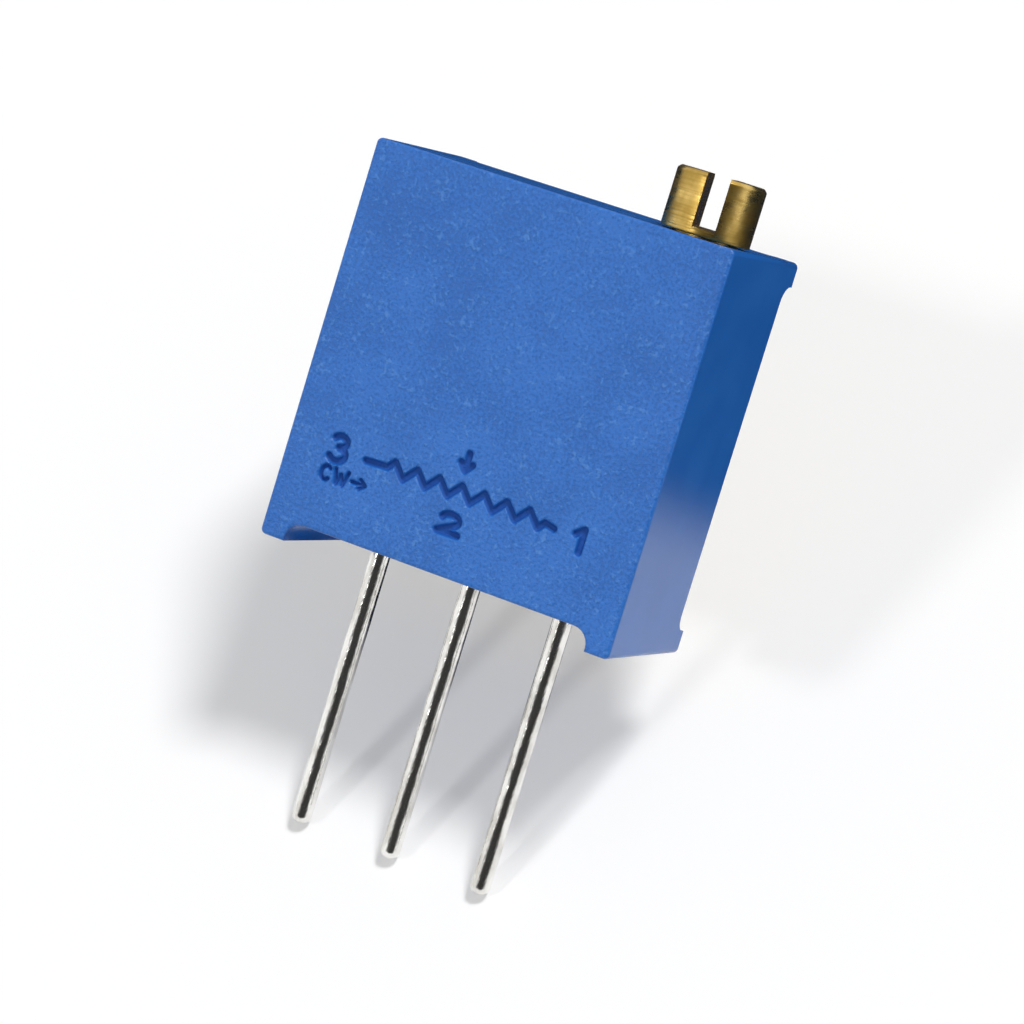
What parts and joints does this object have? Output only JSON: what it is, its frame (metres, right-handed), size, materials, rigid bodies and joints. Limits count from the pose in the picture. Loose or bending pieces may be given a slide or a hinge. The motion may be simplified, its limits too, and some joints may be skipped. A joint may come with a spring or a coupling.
{
  "type": "trimmer potentiometer",
  "caption": "Square multiturn trimmer potentiometer in a blue moulded case, with in-line round pins below and a slotted brass adjusting screw on top.",
  "frame": {"origin": "where the middle pin's axis crosses the seating plane, the plane of the two rails under the pin side", "axes": "+Z towards the adjusting screw, -Z along the pins, -Y out of the marked face, +X towards the side that the screw is on"},
  "size_m": [0.0096, 0.0048, 0.0184],
  "materials": {
    "moulded_case": "fine matt moulded surface, smoother on the sides",
    "turned_brass": "turned, with fine rings and a milled slot",
    "seal_rubber": "smooth black rubber",
    "clip_steel": "stamped spring strip",
    "wheel_plastic": "natural moulded plastic",
    "spring_alloy": "bright spring alloy",
    "ceramic": "fired white ceramic",
    "cermet_film": "fired dark film",
    "conductor_film": "fired silver film",
    "tinned_wire": "bright tinned round wire",
    "solder": "dull solder",
    "potting_compound": "cast resin with a shallow meniscus"
  },
  "bodies": {
    "case": {"housing": "moulded_case", "screw_retainer": "clip_steel", "ceramic_substrate": "ceramic", "resistance_track": "cermet_film", "collector_track": "conductor_film", "end_pad_1": "conductor_film", "end_pad_3": "conductor_film", "terminal_1": "tinned_wire", "terminal_2": "tinned_wire", "terminal_3": "tinned_wire", "solder_joint_1": "solder", "solder_joint_2": "solder", "solder_joint_3": "solder", "epoxy_seal": "potting_compound"},
    "screw": {"adjusting_screw": "turned_brass", "screw_seal": "seal_rubber"},
    "wheel": {"worm_wheel": "wheel_plastic", "wiper_spring": "spring_alloy"}
  },
  "joints": [
    {"name": "screw_turn", "type": "hinge", "parent": "case", "child": "screw", "pos_m": [0.00349, -0.00114, 0.01003], "axis": [0, 0, 1], "range_deg": [-4500, 4500]},
    {"name": "wheel_turn", "type": "hinge", "parent": "case", "child": "wheel", "pos_m": [0, -0.00114, 0.00526], "axis": [0, 1, 0], "range_deg": [-136.4, 136.4]}
  ],
  "couplings": [
    {"joint": "wheel_turn", "follows": "screw_turn", "ratio": 0.030303}
  ]
}
